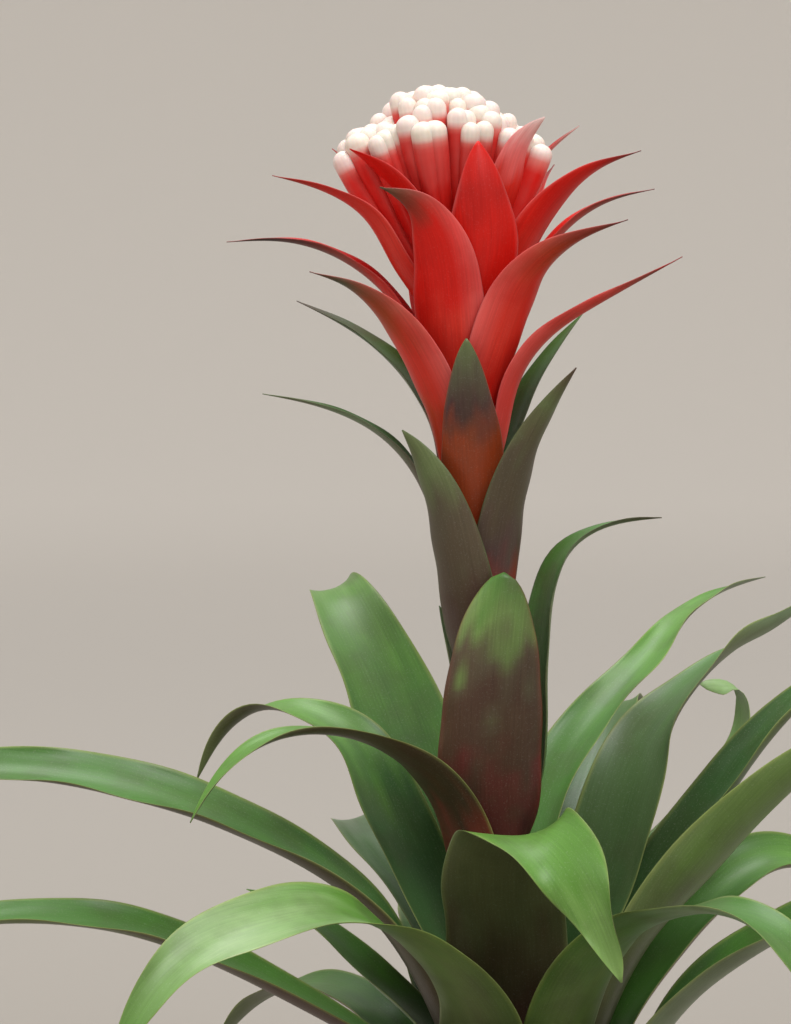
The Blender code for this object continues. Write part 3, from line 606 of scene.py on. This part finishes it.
headRows = [
    # Some head bracts below carry a painted highlight in rose down one side of the blade.
    (-18, 262, 30, 45, 3.0, 1.5, 14, [(9, 3, 34), (15, 4, 58), (27, 2, 76), (48, -3, 91), (81, -11, 110)],
     {"outer": "rust ember coral coral coral coral brickRed plumTip", "paintedSideHighlight": (1, 0.35)}),
    (-138, 266, 36, 40, 3.6, 1.4, 14, [(12, -2, 35), (24, -1, 60), (37, 2, 79), (52, 8, 93), (69, 15, 100)],
     {"outer": "red red ember ember coral coral ember rust mossTip umber", "paintedSideHighlight": (-1, 0.4)}),
    (112, 271, 30, 38, 3.4, 1.4, 14, [(16, 1, 36), (30, 1, 66), (47, 1, 91), (68, 4, 106), (87, 9, 111)], {}),
    (-52, 277, 38, 40, 3.6, 1.5, 14, [(9, 3, 36), (19, 2, 61), (30, -1, 84), (44, -9, 99), (64, -26, 110)],
     {"outer": "red red red coral coral coral ember brickRed plumTip", "paintedSideHighlight": (1, 0.35)}),
    (70, 279, 32, 38, 3.4, 1.4, 14, [(13, -1, 37), (26, 0, 66), (41, 1, 89), (60, -1, 102), (81, -6, 108)],
     {}),
    (175, 283, 32, 38, 3.2, 1.4, 14, [(11, 3, 40), (23, 1, 67), (43, -2, 86), (67, -6, 95), (93, -11, 95)],
     {"outer": "red red coral red brickRed plumTip umber"}),
    (-98, 290, 38, 35, 3.6, 1.2, 14, [(13, 3, 36), (23, 4, 64), (32, 7, 89), (38, 15, 103), (43, 29, 110)],
     {"outer": "red red red coral coral red red red brickRed mossTip", "paintedSideHighlight": (-1, 0.4)}),
    (4, 294, 30, 40, 3.4, 1.4, 14, [(11, 0, 39), (21, -1, 68), (38, -1, 91), (54, -2, 101), (73, -2, 106)],
     {"outer": "red red coral coral brickRed plumTip"}),
    (102, 298, 30, 38, 3.4, 1.4, 14, [(19, 2, 45), (34, 3, 74), (51, 6, 98), (73, 8, 111)], {}),
    (-83, 306, 39, 32, 3.4, 0.8, 14, [(15, 0, 44), (24, -4, 69), (27, -3, 93), (23, -2, 113)],
     {"outer": "red coral coral red red deepRed red"}),
    (40, 303, 28, 38, 3.2, 1.3, 14, [(15, -2, 50), (30, -4, 78), (44, -10, 96), (59, -16, 108)], {}),
    (109, 309, 28, 38, 3.2, 1.3, 14, [(17, 2, 48), (34, 1, 76), (51, 0, 92), (68, 2, 100)], {}),
    (-164, 313, 34, 36, 3.4, 1.3, 14, [(11, -3, 36), (23, -4, 54), (36, -6, 74), (55, -6, 86), (76, -5, 92)],
     {"outer": "red red coral coral red brickRed"}),
    (-39, 313, 34, 40, 3.6, 1.4, 14,
     [(11, -2, 37), (23, -4, 60), (36, -8, 80), (51, -14, 94), (69, -22, 102)],
     {"outer": "red red coral coral red red plumTip"}),
    (162, 325, 26, 30, 3.0, 1.0, 14, [(12, 5, 42), (24, 5, 63), (37, 4, 80), (50, 1, 92)],
     {"outer": "red red red brickRed"}),
    (-46, 323, 30, 32, 3.4, 0.8, 14, [(11, 0, 56), (19, -3, 78), (24, -6, 95), (30, -13, 106)],
     {"outer": whiteEnd}),
    (-144, 331, 30, 30, 3.4, 0.9, 13, [(10, -1, 43), (20, 1, 62), (30, 4, 75), (42, 10, 85)],
     {"outer": "red red coral red red"}),
    (1, 333, 30, 32, 3.0, 1.0, 14, [(6, -3, 37), (17, -4, 58), (28, -3, 78), (44, 0, 93)],
     {"outer": whiteEnd}),
    (88, 338, 26, 38, 3.0, 1.0, 14, [(8, 0, 42), (19, 0, 62), (29, 2, 78), (39, 3, 86)], {}),
    (-116, 342, 26, 30, 3.2, 0.8, 11, [(3, 0, 37), (9, 4, 55), (16, 9, 70)],
     {"outer": "red red coral coral rose"}),
]


def buildBracts(kind, rows, common, material):
    for number, (bearing, height, width, channel, taper, point, flare, path, looks) in enumerate(rows):
        spec = dict(common, bearing=bearing, height=height, width=width, channel=channel, taper=taper)
        spec.update(point=point, flare=flare, path=path, phase=float(draw.random()))
        spec.update(looks)
        name = f"{kind}_{number + 1:02d}"
        makePiece(name, bladeSurface(spec, 60, 12), material, [name])


buildBracts("stalk_bract", stalkRows, stalkCommon, bractMaterial)
buildBracts("head_bract", headRows, headCommon, redMaterial)
print("bracts made:", len(stalkRows) + len(headRows))

# Florets

floret = {
    "count": 84, "spread": 45.0, "topHeight": 443.0, "fall": 0.0140, "frontFall": 0.030, "frontDepth": 0.52,
    "radius": 4.7, "rows": 30, "ring": 16, "footHeight": 352.0, "footShare": 0.10, "kneeShare": 0.62,
    "kneeDrop": 42.0, "lobeDrop": 8.0, "lobeFrom": 17.0, "lobeTo": 37.0, "lobeFade": 18.0, "endFrom": 0.945,
    "whiteLength": (4.0, 6.5), "whiteFade": 2.5, "blushLength": 7.0, "blushFade": 4.0,
}


def floretTips(parts, number):
    # The tips follow the golden angle over a low dome. It falls away faster at the front and has a lower lobe
    # at the left.
    count = parts["count"]
    reach = parts["spread"] * np.sqrt((number + 0.5) / count)
    around = number * math.radians(137.508) + draw.uniform(-0.12, 0.12, count)
    reach = np.clip(reach + draw.uniform(-1.2, 1.2, count), 0, parts["spread"])
    x, y = reach * np.cos(around), reach * np.sin(around)
    y *= np.where(y < 0, parts["frontDepth"], 1)
    fall = np.where(y < 0, parts["frontFall"], parts["fall"])
    top = parts["topHeight"] - parts["fall"] * x**2 - fall * y**2 + draw.uniform(-1.5, 1.5, count)
    front = np.clip((10.0 - y) / 4.0, 0, 1)
    lobe = np.clip((x + parts["lobeTo"]) / parts["lobeFade"], 0, 1) * front
    top = top - parts["lobeDrop"] * np.clip((-x - parts["lobeFrom"]) / 2.0, 0, 1) * lobe
    return np.stack([x, y], -1), reach, top


def floretSurfaces(parts):
    # Each floret is a tube along a curve that rises from the stalk's end and leans out to its tip. Its radius
    # swells towards the tip and closes as a rounded end.
    number = np.arange(parts["count"])
    flat, reach, top = floretTips(parts, number)
    heights = (parts["footHeight"] + 0 * reach, top - parts["kneeDrop"] + 0.1 * reach, top)
    foot, knee, tip = (
        np.concatenate([share * flat + axisAt(height), height[:, None]], -1)[:, None]
        for share, height in zip((parts["footShare"], parts["kneeShare"], 1.0), heights)
    )
    s = 1 - (1 - np.linspace(0, 1, parts["rows"])) ** 1.9
    along = s[None, :, None]
    line = foot * (1 - along) ** 2 + knee * 2 * along * (1 - along) + tip * along**2
    forward = np.gradient(line, axis=1)
    forward /= np.linalg.norm(forward, axis=2, keepdims=True)
    side = np.cross(forward, [0.0, 1.0, 0.0])
    side /= np.linalg.norm(side, axis=2, keepdims=True)
    other = np.cross(forward, side)
    size = parts["radius"] * draw.uniform(0.85, 1.15, parts["count"])[:, None]
    swell = 0.45 + 0.55 * np.clip(s / 0.8, 0, 1) ** 1.5
    left = np.clip((s - parts["endFrom"]) / (1 - parts["endFrom"]), 0, 1)  # the end is as deep as it is wide
    radius = size * (swell * np.sqrt(np.clip(1 - left**2, 0.0009, 1)))[None, :]
    phi = 2 * np.pi * np.arange(parts["ring"]) / parts["ring"]
    ring = radius[..., None, None] * (1 + 0.03 * np.cos(3 * phi))[:, None]
    turned = np.cos(phi)[:, None] * side[:, :, None] + np.sin(phi)[:, None] * other[:, :, None]
    points = line[:, :, None] + ring * turned
    points[..., 2] += plant["soilLevel"]
    arm = np.linalg.norm(tip - foot, axis=2)
    fromTip = (1 - s) * arm
    whiteFrom = draw.uniform(*parts["whiteLength"], parts["count"])[:, None]
    white = 1 - np.clip((fromTip - whiteFrom) / parts["whiteFade"], 0, 1)
    pink = 1 - np.clip((fromTip - parts["blushLength"]) / parts["blushFade"], 0, 1)
    pale = mixPaint(shades["white"], shades["cream"], draw.uniform(0, 1, parts["count"])[:, None])
    paint = mixPaint(mixPaint(shades["red"], shades["blush"], pink), pale, white)
    paint = np.repeat(paint[:, :, None], parts["ring"], 2)
    acrossMap, alongMap = (phi * 3.5 * mm) + number[:, None, None], along * arm[..., None] * mm
    maps = np.stack(np.broadcast_arrays(acrossMap, alongMap), -1)
    one = ringFaces(parts["rows"], parts["ring"])
    each = parts["rows"] * parts["ring"]
    faces = (one[None] + each * number[:, None, None]).reshape(-1, 4).tolist()
    for k in number.tolist():
        faces.append(list(range(k * each, k * each + parts["ring"]))[::-1])
        faces.append(list(range((k + 1) * each - parts["ring"], (k + 1) * each)))
    return points * mm, faces, maps, paint


makePiece("florets", floretSurfaces(floret), floretMaterial, ["flower_cluster"])
print("florets made:", floret["count"])

# Stalk and crown

stalk = {
    "foot": 26.3, "top": 352.0, "radius": 5.0, "topRadius": 3.8, "segments": 32, "rows": 80, "knots": 21.0,
    "knotSize": 0.25, "shades": "darkOlive olive mauve brickRed red red",
}


def stalkSurface(parts):
    # A tapering round stem on the leaning axis, a little thicker at each bract's root.
    z = np.linspace(parts["foot"], parts["top"], parts["rows"])
    r = parts["radius"] + (parts["topRadius"] - parts["radius"]) * (z - z[0]) / (z[-1] - z[0])
    r = r + parts["knotSize"] * np.sin(2 * np.pi * z / parts["knots"]) ** 8
    z = np.concatenate([[z[0]], z, [z[-1]]])
    r = np.concatenate([[0.02], r, [0.02]])
    points, faces = turnedSurface(np.stack([r, z], -1), parts["segments"])
    points[..., :2] += axisAt(z)[:, None]
    points[..., 2] += plant["soilLevel"]
    share = (z - z[0]) / (z[-1] - z[0])
    paint = np.repeat(shadeAlong(parts["shades"], share)[:, None], parts["segments"], 1)
    around = 2 * np.pi * np.arange(parts["segments"]) / parts["segments"]
    maps = np.stack(np.broadcast_arrays(around * parts["radius"] * mm, z[:, None] * mm), -1)
    return points * mm, faces, maps, paint


makePiece("stalk", stalkSurface(stalk), bractMaterial, ["flower_stalk"])
print("stalk made")

# Pot and soil

pot = {
    "height": 110.0, "baseRadius": 43.0, "mouthRadius": 59.0, "wall": 4.5, "floor": 6.0, "rimHeight": 22.0,
    "rimStep": 3.5, "segments": 128, "drainRadius": 4.0, "drainCircle": 22.0, "drainCount": 3,
    "drainBevel": 0.6, "edges": (1.5, 0.6, 1.2, 1.8, 1.8, 3.0), "axisHole": 0.02,
}


def wallRadius(height):
    # The inner wall: a straight taper from the floor's edge to the mouth.
    share = (height - pot["floor"]) / (pot["height"] - pot["floor"])
    foot = pot["baseRadius"] - pot["wall"]
    return foot + (pot["mouthRadius"] - foot) * share


def fillet(before, corner, after, reach, steps=5):
    # A rounded corner: the quadratic curve from a point short of the corner to one past it.
    before, corner, after = (np.asarray(p, float) for p in (before, corner, after))
    start = corner + (before - corner) / np.linalg.norm(before - corner) * reach
    end = corner + (after - corner) / np.linalg.norm(after - corner) * reach
    s = np.linspace(0, 1, steps)[:, None]
    return (start * (1 - s) ** 2 + corner * 2 * s * (1 - s) + end * s**2).tolist()


def potProfile():
    # The section from the foot, up the outside, over the rim and down the inside, with rounded edges.
    rimFoot = pot["height"] - pot["rimHeight"]
    bodyTop = wallRadius(rimFoot) + pot["wall"]
    rimTop = pot["mouthRadius"] + pot["wall"] + pot["rimStep"]
    corners = [
        (pot["axisHole"], 0.0), (pot["baseRadius"], 0.0), (bodyTop, rimFoot),
        (bodyTop + pot["rimStep"], rimFoot), (rimTop, pot["height"]), (pot["mouthRadius"], pot["height"]),
        (pot["baseRadius"] - pot["wall"], pot["floor"]), (pot["axisHole"], pot["floor"]),
    ]
    profile = [corners[0]]
    for i, reach in enumerate(pot["edges"], 1):
        profile += fillet(corners[i - 1], corners[i], corners[i + 1], reach)
    return profile + [corners[-1]]


def fineProfile(profile, step):
    # The same profile with points added so that none lies further than one step from the next.
    fine = []
    for a, b in zip(profile, profile[1:]):
        count = max(1, int(math.dist(a, b) / step))
        fine += [(a[0] + (b[0] - a[0]) * k / count, a[1] + (b[1] - a[1]) * k / count) for k in range(count)]
    return fine + [profile[-1]]


clayTones = {
    "dark": (0.40, 0.150, 0.075, 1), "light": (0.52, 0.225, 0.120, 1), "chalk": (0.66, 0.56, 0.47, 1),
    "grit": (0.20, 0.075, 0.040, 1),
}


def buildClay():
    # Cloudy fired clay with turning rings, dark grit and a chalky bloom that is strongest near the foot.
    material, tree, shader = plainMaterial("firedClay", {"Roughness": 0.85})
    place = objectPlace(tree)
    split = addNode(tree, "ShaderNodeSeparateXYZ")
    tree.links.new(place, split.inputs[0])
    cloud = noiseOn(tree, place, 26.0, 5.0)
    grit = noiseOn(tree, place, 900.0, 3.0)
    rings = noiseOn(tree, place, 1.0, 3.0, (2, 2, 420))
    body = blendColours(tree, rampUp(tree, cloud, 0.3, 0.7), clayTones["dark"], clayTones["light"])
    bloom = noiseOn(tree, place, 60.0, 6.0)
    lowDown = calculate(tree, "SUBTRACT", 1.0, rampUp(tree, split.outputs[2], 0.0, 0.045))
    lowDown = calculate(tree, "MULTIPLY_ADD", lowDown, 0.5, 0.18)
    bloomShare = calculate(tree, "MULTIPLY", rampUp(tree, bloom, 0.48, 0.70), lowDown)
    chalked = blendColours(tree, bloomShare, body, clayTones["chalk"])
    dark = calculate(tree, "MULTIPLY", rampUp(tree, grit, 0.60, 0.74), 0.35)
    colour = blendColours(tree, dark, chalked, clayTones["grit"])
    tree.links.new(colour, shader.inputs["Base Color"])
    addRelief(tree, shader, calculate(tree, "MULTIPLY_ADD", grit, 0.5, rings), 0.35)
    rough = calculate(tree, "MULTIPLY_ADD", cloud, 0.2, 0.72)
    tree.links.new(rough, shader.inputs["Roughness"])
    return material


soilTones = {
    "dark": (0.018, 0.012, 0.008, 1), "light": (0.085, 0.055, 0.035, 1), "fibre": (0.20, 0.13, 0.08, 1),
}


def buildSoilMaterial():
    # Dark clumps with paler fibres between them.
    material, tree, shader = plainMaterial("pottingSoil", {"Roughness": 0.95})
    place = objectPlace(tree)
    clump = noiseOn(tree, place, 160.0, 6.0)
    crumb = noiseOn(tree, place, 900.0, 3.0)
    body = blendColours(tree, rampUp(tree, clump, 0.35, 0.68), soilTones["dark"], soilTones["light"])
    fibre = blendColours(tree, rampUp(tree, crumb, 0.58, 0.72), body, soilTones["fibre"])
    tree.links.new(fibre, shader.inputs["Base Color"])
    addRelief(tree, shader, calculate(tree, "MULTIPLY_ADD", crumb, 0.4, clump), 1.2)
    return material


clay = buildClay()
soilMaterial = buildSoilMaterial()

profile = fineProfile(potProfile(), 6.0)
points, faces = turnedSurface(profile, pot["segments"])
potPiece = makePiece("clayPot", (points * mm, faces), clay, ["pot"])
wide = pot["drainRadius"] + pot["drainBevel"]
hole = [
    (pot["axisHole"], -6.0), (wide, -6.0), (wide, 0.0), (pot["drainRadius"], 0.8), (pot["drainRadius"], 12.0),
    (pot["axisHole"], 12.0),
]
for number in range(pot["drainCount"]):
    angle = math.tau * (number + 0.25) / pot["drainCount"]
    points, faces = turnedSurface(hole, 32)
    points += np.array([math.cos(angle), math.sin(angle), 0.0]) * pot["drainCircle"]
    cutter = newObject("drainCutter", newMesh("drainCutter", points * mm, faces))
    cut = potPiece.modifiers.new("drain", "BOOLEAN")
    cut.operation, cut.solver, cut.object = "DIFFERENCE", "EXACT", cutter
    bpy.context.view_layer.update()
    cutMesh = bpy.data.meshes.new_from_object(potPiece.evaluated_get(bpy.context.evaluated_depsgraph_get()))
    potPiece.modifiers.clear()
    potPiece.data = cutMesh
    bpy.data.objects.remove(cutter)
potPiece.data.shade_smooth()
potPiece.data.set_sharp_from_angle(angle=math.radians(40))
print("pot made")

soil = {
    "top": 100.0, "rows": 70, "segments": 200, "rough": 0.9, "fitGap": 0.3, "axisHole": 0.02,
    "waves": ((25.0, 0.9), (13.0, 0.6), (7.0, 0.45), (4.2, 0.35), (3.0, 0.2)),
    "chipsFrom": 40.0, "chipsTo": 54.0,
}


def bumpyGround(x, y):
    # Sums of crossed waves whose lengths run from 25 mm down to 3 mm, for the crumbled surface.
    total = 0 * x
    for length, size in soil["waves"]:
        for turn in draw.uniform(0, 2 * math.pi, 3):
            along = x * math.cos(turn) + y * math.sin(turn)
            total = total + size / 2 * np.sin(along * 2 * math.pi / length + turn * 5)
    return total


def soilSurface(parts):
    # A disc whose top is bumpy ground, held to its level at the rim, over a plain cone-sided body.
    rim = wallRadius(parts["top"]) - parts["fitGap"]
    ringShare = np.linspace(0.0005, 1, parts["rows"])
    around = 2 * np.pi * np.arange(parts["segments"]) / parts["segments"]
    r = rim * ringShare[:, None] + 0 * around
    x, y = r * np.cos(around), r * np.sin(around)
    z = parts["top"] - 0.8 + parts["rough"] * bumpyGround(x, y) * np.clip((rim - r) / 3, 0.3, 1)
    top = np.stack([x, y, z], -1)[::-1]
    low = pot["floor"] + parts["fitGap"]
    underside = [(parts["axisHole"], low), (wallRadius(low) - parts["fitGap"], low)]
    under, _ = turnedSurface(underside, parts["segments"])
    points = np.concatenate([under, top])
    return points * mm, capEnds(ringFaces(len(points), parts["segments"]), len(points), parts["segments"])


makePiece("soilFill", soilSurface(soil), soilMaterial, ["soil"])


def chipSurfaces(count, size, flat, lift):
    # Small rounded blocks: a cube's grid points pushed halfway to a sphere, stretched, turned and laid on
    # the soil.
    axis = np.array([-1.0, 0.0, 1.0])
    cube = np.stack(np.meshgrid(axis, axis, axis, indexing="ij"), -1).reshape(-1, 3)
    index = np.arange(len(cube)).reshape(3, 3, 3)
    quads = []
    for a in range(3):
        for end in (0, 2):
            slab = index.transpose(a, (a + 1) % 3, (a + 2) % 3)[end]
            quad = np.stack([slab[:-1, :-1], slab[1:, :-1], slab[1:, 1:], slab[:-1, 1:]], -1).reshape(-1, 4)
            quads.append(quad if end else quad[:, ::-1])
    quads = np.concatenate(quads)
    ball = cube / np.maximum(np.linalg.norm(cube, axis=1), 0.5)[:, None]
    shape = 0.5 * cube + 0.5 * ball
    spin = draw.uniform(0, 2 * np.pi, count)
    tip = draw.uniform(-0.5, 0.5, count)
    stretch = size * draw.uniform(0.6, 1.4, (count, 3)) * np.array([1.0, 0.7, flat])
    points = shape[None] * stretch[:, None] * (1 + draw.uniform(-0.15, 0.15, (count, len(cube), 3)))
    turnX = points[..., 1] * np.cos(tip)[:, None] - points[..., 2] * np.sin(tip)[:, None]
    turnZ = points[..., 1] * np.sin(tip)[:, None] + points[..., 2] * np.cos(tip)[:, None]
    x = points[..., 0] * np.cos(spin)[:, None] - turnX * np.sin(spin)[:, None]
    y = points[..., 0] * np.sin(spin)[:, None] + turnX * np.cos(spin)[:, None]
    reach = np.sqrt(draw.uniform(soil["chipsFrom"] ** 2, soil["chipsTo"] ** 2, count))
    bearing = draw.uniform(0, 2 * np.pi, count)
    x, y = x + (reach * np.cos(bearing))[:, None], y + (reach * np.sin(bearing))[:, None]
    z = turnZ + soil["top"] + lift
    faces = quads[None] + len(cube) * np.arange(count)[:, None, None]
    return np.stack([x, y, z], -1) * mm, faces.reshape(-1, 4).tolist()


def twoToneMaterial(name, roughness, scale, detail, dark, light):
    # One noise blends the dark tone into the light one.
    material, tree, shader = plainMaterial(name, {"Roughness": roughness})
    share = noiseOn(tree, objectPlace(tree), scale, detail)
    tree.links.new(blendColours(tree, share, dark, light), shader.inputs["Base Color"])
    return material


# Roughness, the noise's scale and detail, and its dark and light tones.
bark = twoToneMaterial("barkChip", 0.9, 240.0, 4.0, (0.030, 0.014, 0.008, 1), (0.20, 0.105, 0.055, 1))
perlite = twoToneMaterial("perlite", 0.95, 700.0, 3.0, (0.45, 0.42, 0.38, 1), (0.80, 0.78, 0.74, 1))
rind = twoToneMaterial("crownRind", 0.6, 120.0, 4.0, (0.035, 0.022, 0.012, 1), (0.13, 0.12, 0.055, 1))
# Count, size, flatness and height above the soil's level, in millimetres.
makePiece("barkChips", chipSurfaces(260, 3.2, 0.45, 0.4), bark)
makePiece("perliteGrains", chipSurfaces(90, 1.4, 0.8, 0.5), perlite)
print("soil made")

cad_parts["crown"].data.materials.clear()
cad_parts["crown"].data.materials.append(rind)

# Floor, light and camera

# The floor is painted darker near the plant, a painted shadow, and brighter out towards the wall, painted
# light where less lamp light falls.
studio = {
    "shadedNearTone": (0.320, 0.294, 0.262, 1.0), "brightenedFarTone": (0.740, 0.698, 0.648, 1.0), "near": 0.6, "far": 4.6,
    "flat": 4.0, "curve": 3.0, "wall": 4.0, "segments": 96, "world": 0.74,
    "worldTone": (1.0, 0.985, 0.965, 1.0),
}


def studioSurface(parts):
    # A round floor that sweeps up into a low wall: flat to one radius, then a quarter circle, then upright.
    bend = np.linspace(0, np.pi / 2, 24)
    sweep = parts["flat"] + parts["curve"] * np.sin(bend)
    r = np.concatenate([[0.01, 1.0], sweep, [parts["flat"] + parts["curve"]]])
    z = np.concatenate([[0, 0], parts["curve"] * (1 - np.cos(bend)), [parts["wall"]]])
    points, _ = turnedSurface(np.stack([r, z], -1), parts["segments"])
    faces = ringFaces(len(r), parts["segments"])[:, ::-1]  # turned over, so that they face the plant
    return points, faces.tolist() + [list(range(parts["segments"]))]


floor = newObject("studioFloor", newMesh("studioFloor", *studioSurface(studio)))
floor.data.shade_smooth()
floorMaterial, tree, shader = plainMaterial("paleFloorPaintedShade", {"Roughness": 0.9, "Specular IOR Level": 0.1})
# Painted shade: the floor's colour runs from the dark tone near the plant to the bright one far out.
floorReach = addNode(tree, "ShaderNodeVectorMath", operation="LENGTH")
tree.links.new(objectPlace(tree), floorReach.inputs[0])
floorShare = addNode(tree, "ShaderNodeMapRange", {"From Min": studio["near"], "From Max": studio["far"]})
tree.links.new(floorReach.outputs["Value"], floorShare.inputs["Value"])
paintedFloorShading = blendColours(tree, floorShare.outputs[0], studio["shadedNearTone"], studio["brightenedFarTone"])
tree.links.new(paintedFloorShading, shader.inputs["Base Color"])
floor.data.materials.append(floorMaterial)

world = bpy.data.worlds.new("softRoom")
bpy.context.scene.world = world
world.use_nodes = True
roomLight = world.node_tree.nodes["Background"].inputs
roomLight["Color"].default_value = studio["worldTone"]
roomLight["Strength"].default_value = studio["world"]

lamps = [
    {"name": "keyLight", "at": (0.7, -1.7, 2.4), "size": 1.3, "watts": 46.0},
    {"name": "topLight", "at": (-0.1, 0.5, 2.6), "size": 1.5, "watts": 38.0},
    {"name": "sideLight", "at": (-2.4, -1.0, 1.2), "size": 1.4, "watts": 10.0},
]


def aimAt(obj, place, target):
    # Stands the object at its place and turns its -Z towards the target.
    obj.location = place
    away = np.subtract(place, target)
    obj.rotation_euler = (
        math.acos(away[2] / np.linalg.norm(away)), 0.0, math.atan2(away[1], away[0]) + math.pi / 2,
    )


lookAt = (-0.0519, 0.0, 0.3658)
for lamp in lamps:
    data = bpy.data.lights.new(lamp["name"], "AREA")
    data.shape, data.size, data.energy = "DISK", lamp["size"], lamp["watts"]
    aimAt(newObject(lamp["name"], data), lamp["at"], lookAt)

shot = {"distance": 1.6, "elevation": 4.0, "lens": 135.0}
cameraData = bpy.data.cameras.new("camera")
cameraData.lens, cameraData.sensor_width = shot["lens"], 36.0
camera = newObject("camera", cameraData)
tilt = math.radians(shot["elevation"])
back = (0.0, -shot["distance"] * math.cos(tilt), shot["distance"] * math.sin(tilt))
aimAt(camera, tuple(np.add(lookAt, back)), lookAt)
bpy.context.scene.camera = camera
bpy.context.scene.view_settings.view_transform = "Standard"
print("studio made")
